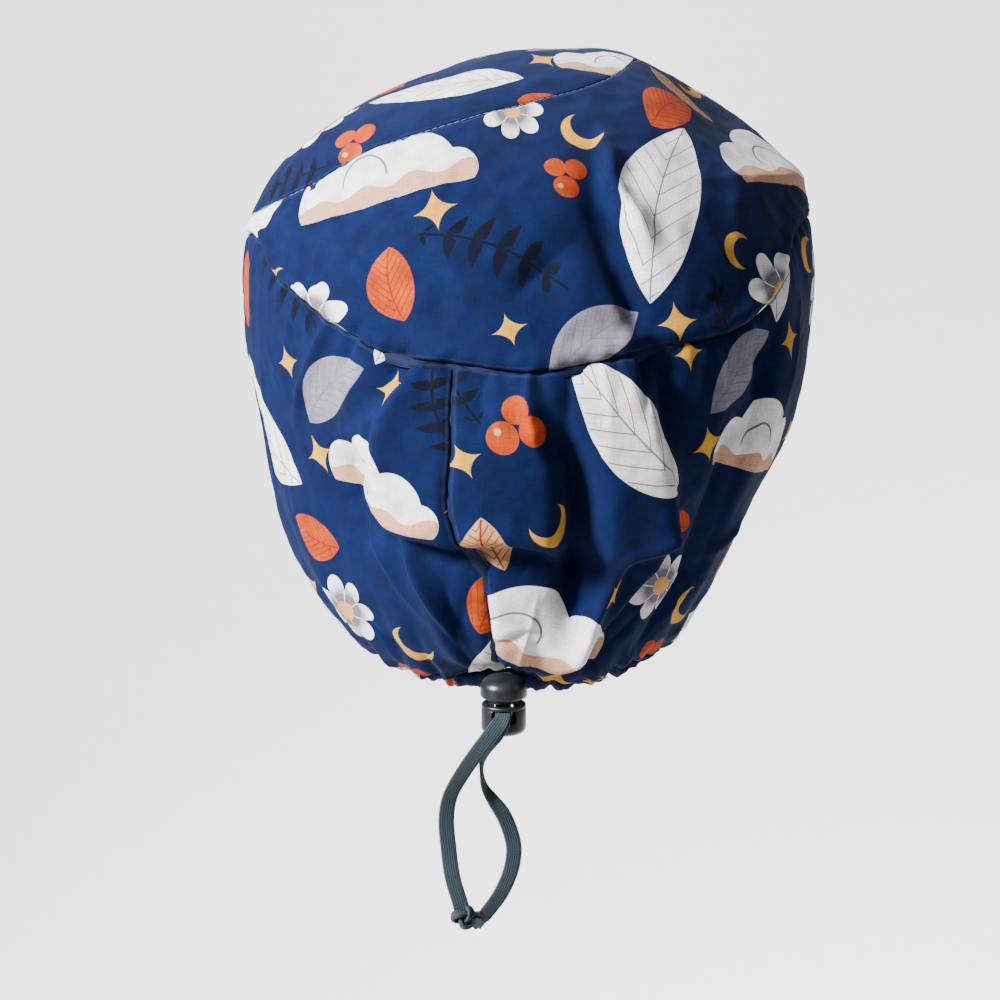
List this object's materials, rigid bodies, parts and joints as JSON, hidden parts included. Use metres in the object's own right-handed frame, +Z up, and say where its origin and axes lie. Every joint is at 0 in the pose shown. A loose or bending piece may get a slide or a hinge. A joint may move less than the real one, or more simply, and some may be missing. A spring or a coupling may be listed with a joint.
{
  "type": "scrub cap",
  "caption": "Bouffant cloth scrub cap with a domed crown, gathered nape, elastic in a casing and a sprung cord lock with knotted elastic ends.",
  "frame": {"origin": "the middle of the head's opening, on the line where the cap sits, level with the middle between the nape hem and the lower edge of the crown's fullness", "axes": "+Z up as worn, -Y towards the nape, where the cord lock hangs, +Y towards the forehead, +X towards the wearer's right"},
  "size_m": [0.2245, 0.2354, 0.3209],
  "materials": {
    "printed_cotton": "navy printed plain-weave cotton",
    "elastic": "dark ribbed braided elastic",
    "lock_plastic": "black moulded plastic, slightly glossy"
  },
  "bodies": {
    "cap": {"front_panel": "printed_cotton", "crown_panel": "printed_cotton", "back_panel_left": "printed_cotton", "back_panel_right": "printed_cotton", "nape_casing_left": "printed_cotton", "nape_casing_right": "printed_cotton", "casing_elastic_left": "elastic", "casing_elastic_right": "elastic", "cord_lock_barrel": "lock_plastic", "elastic_strand_left": "elastic", "elastic_strand_right": "elastic", "elastic_knot": "elastic"},
    "lock_button": {"cord_lock_button": "lock_plastic"}
  },
  "joints": [
    {"name": "button_press", "type": "slide", "parent": "cap", "child": "lock_button", "axis": [0, 0, -1], "range_m": [0, 0.0022], "stiffness_N_per_m": 300}
  ]
}
